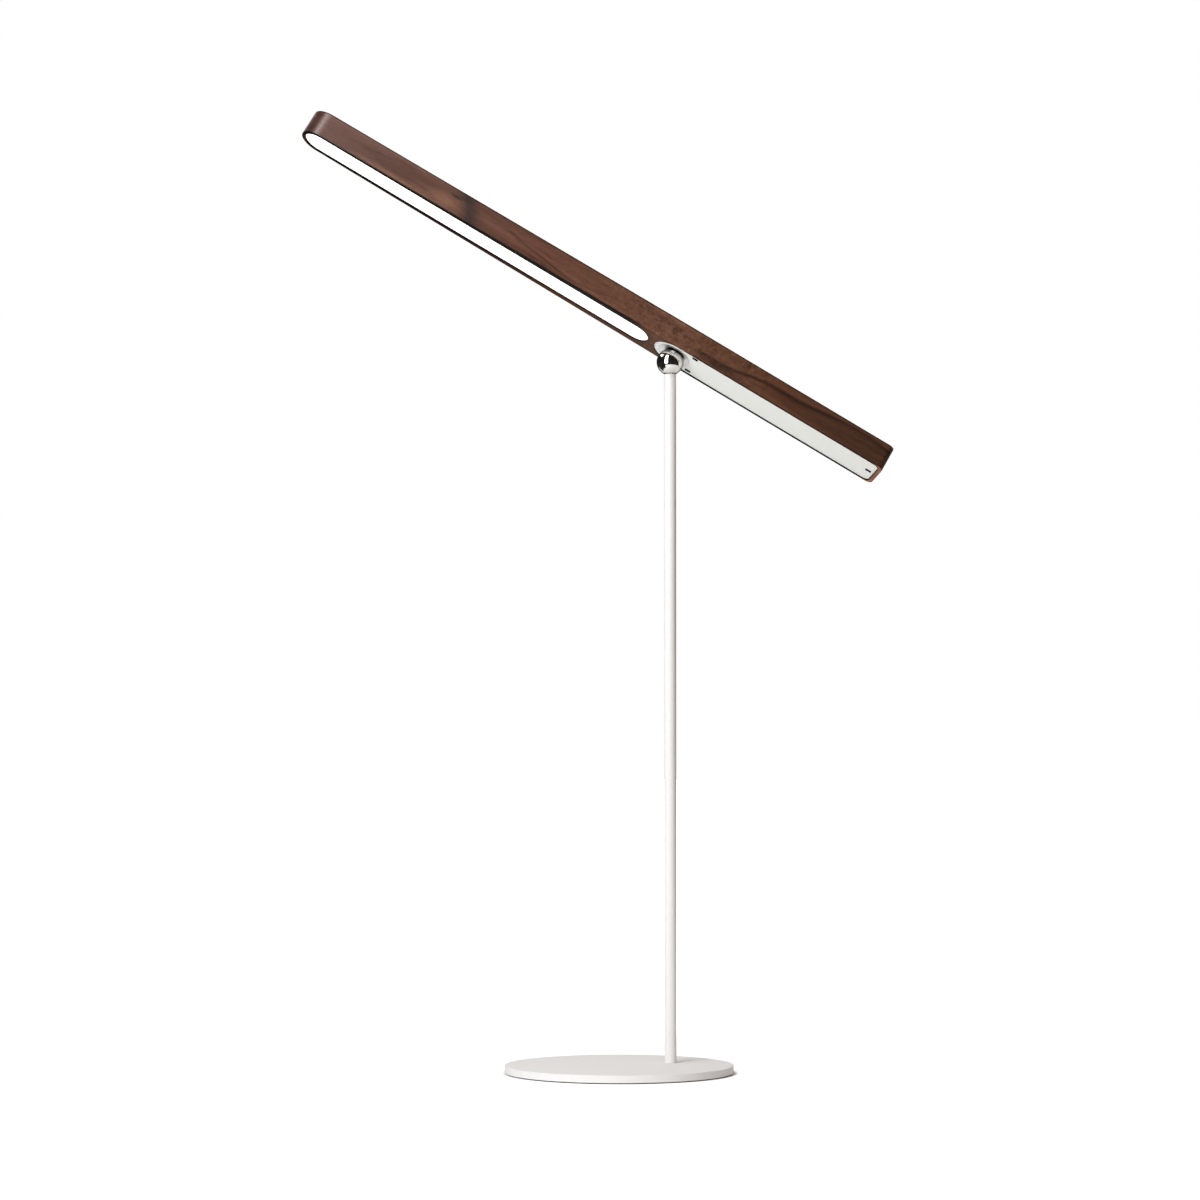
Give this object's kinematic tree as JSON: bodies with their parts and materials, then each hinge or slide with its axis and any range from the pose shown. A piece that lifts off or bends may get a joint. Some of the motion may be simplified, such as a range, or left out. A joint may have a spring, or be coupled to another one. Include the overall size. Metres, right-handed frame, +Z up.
{
  "type": "wooden table lamp",
  "caption": "Cordless table lamp: a walnut light bar with an opal strip and a metal cover plate, on a magnetic ball joint at the top of a slim stem and round base.",
  "frame": {"origin": "middle of the base's underside, where it rests on the table", "axes": "+Z up along the stem, +X from the base's middle to the stem, +Y to the back right of the picture's view; the bar rests turned, tilted and spun as pictured"},
  "size_m": [0.3976, 0.1763, 0.6753],
  "materials": {
    "white_paint": "satin",
    "plate_paint": "satin",
    "pad_rubber": "matte",
    "polished_steel": "polished",
    "plain_steel": "satin",
    "walnut": "satin",
    "opal_lit": "satin",
    "board_white": "matte",
    "light_source": "satin",
    "bare_aluminium": "satin",
    "black_plastic": "matte",
    "cell_foil": "satin",
    "foam": "matte",
    "red_lead": "satin",
    "pale_lead": "satin",
    "board_green": "satin",
    "chip_black": "satin"
  },
  "bodies": {
    "stand": {"base_plate": "white_paint", "base_pad": "pad_rubber", "stem": "white_paint", "stem_screw": "plain_steel", "ball_stud": "plain_steel"},
    "ball": {"joint_ball": "polished_steel"},
    "socket": {"ball_cup": "polished_steel", "ball_magnet": "plain_steel", "magnet_pot": "plain_steel"},
    "lamp_bar": {"wood_body": "walnut", "cover_plate": "plate_paint", "diffuser": "opal_lit", "led_board": "board_white", "leds": "light_source", "heat_strip": "bare_aluminium", "strip_screws": "plain_steel", "battery_tray": "black_plastic", "tray_screws": "plain_steel", "battery_cell": "cell_foil", "cell_pad": "foam", "cell_wires": "red_lead", "control_board": "board_green", "control_parts": "chip_black", "usb_socket": "plain_steel", "power_switch": "chip_black", "led_wires": "pale_lead"},
    "button": {"switch_button": "plain_steel"}
  },
  "joints": [
    {"name": "stem_turn", "type": "hinge", "parent": "stand", "child": "ball", "pos_m": [0.039, 0, 0.4994], "axis": [0, 0, 1], "continuous": true},
    {"name": "ball_tilt", "type": "hinge", "parent": "ball", "child": "socket", "pos_m": [0.039, 0, 0.4994], "axis": [-0.1736, 0.9848, 0], "range_deg": [-124, 56]},
    {"name": "cup_spin", "type": "hinge", "parent": "socket", "child": "lamp_bar", "pos_m": [0.039, 0, 0.4994], "axis": [0.5507, 0.0971, 0.829], "continuous": true},
    {"name": "button_press", "type": "slide", "parent": "lamp_bar", "child": "button", "axis": [-0.1806, -0.9558, 0.2319], "range_m": [0, 0.0006], "stiffness_N_per_m": 1500}
  ]
}
